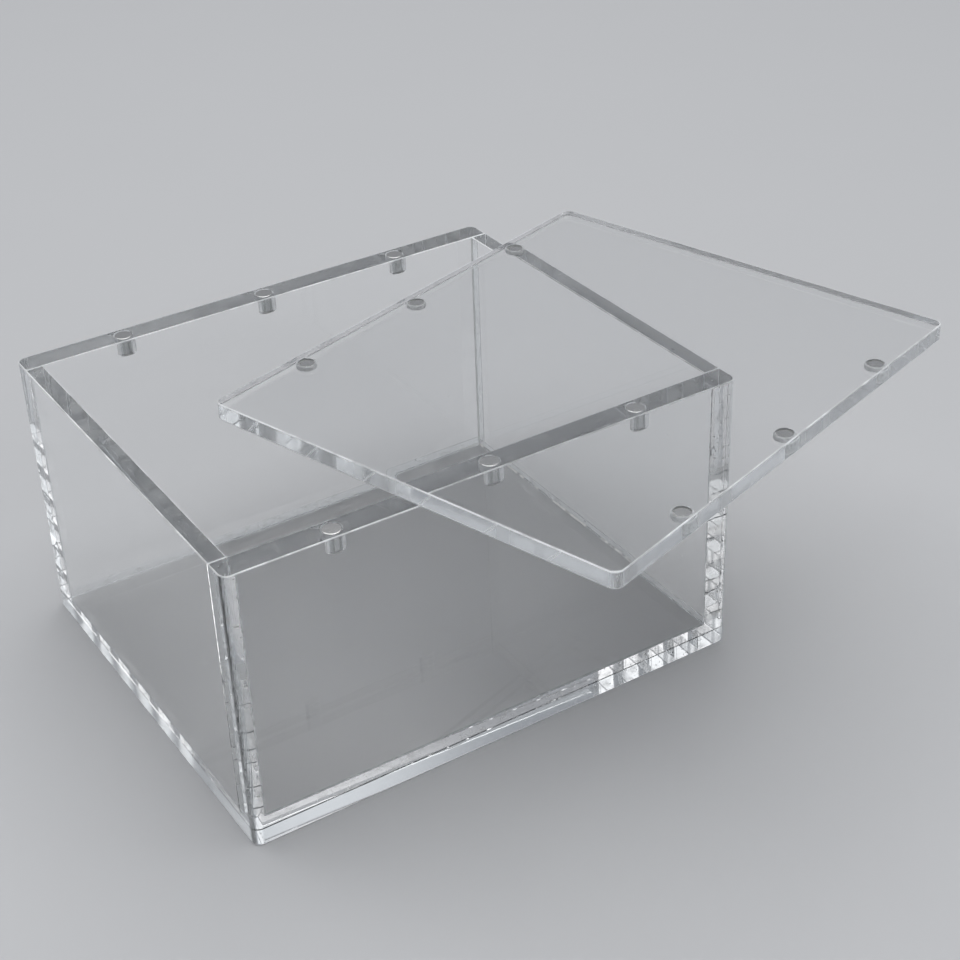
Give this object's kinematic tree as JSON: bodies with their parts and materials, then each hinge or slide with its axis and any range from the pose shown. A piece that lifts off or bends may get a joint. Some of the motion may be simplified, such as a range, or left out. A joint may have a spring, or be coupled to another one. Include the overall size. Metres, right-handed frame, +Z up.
{
  "type": "acrylic case",
  "caption": "Clear acrylic box with an open top and a loose flat lid that magnets in its edges hold on the rim; shown with the lid turned and slid aside.",
  "frame": {"origin": "middle of the case's underside, on the surface that it stands on", "axes": "+X runs along the long walls, +Y from the front long wall to the back one, +Z up"},
  "size_m": [0.212, 0.1845, 0.087],
  "materials": {
    "clear_acrylic": "polished",
    "nickel": "polished"
  },
  "bodies": {
    "case": {"base_plate": "clear_acrylic", "front_wall": "clear_acrylic", "back_wall": "clear_acrylic", "left_wall": "clear_acrylic", "right_wall": "clear_acrylic", "rim_magnet_front_left": "nickel", "rim_magnet_front_middle": "nickel", "rim_magnet_front_right": "nickel", "rim_magnet_back_left": "nickel", "rim_magnet_back_middle": "nickel", "rim_magnet_back_right": "nickel"},
    "lid": {"lid_plate": "clear_acrylic", "lid_magnet_front_left": "nickel", "lid_magnet_front_middle": "nickel", "lid_magnet_front_right": "nickel", "lid_magnet_back_left": "nickel", "lid_magnet_back_middle": "nickel", "lid_magnet_back_right": "nickel"}
  },
  "joints": [
    {"name": "lid_lift", "type": "slide", "parent": "case", "child": "lid", "axis": [0, 0, 1], "range_m": [0, 0.08]}
  ]
}
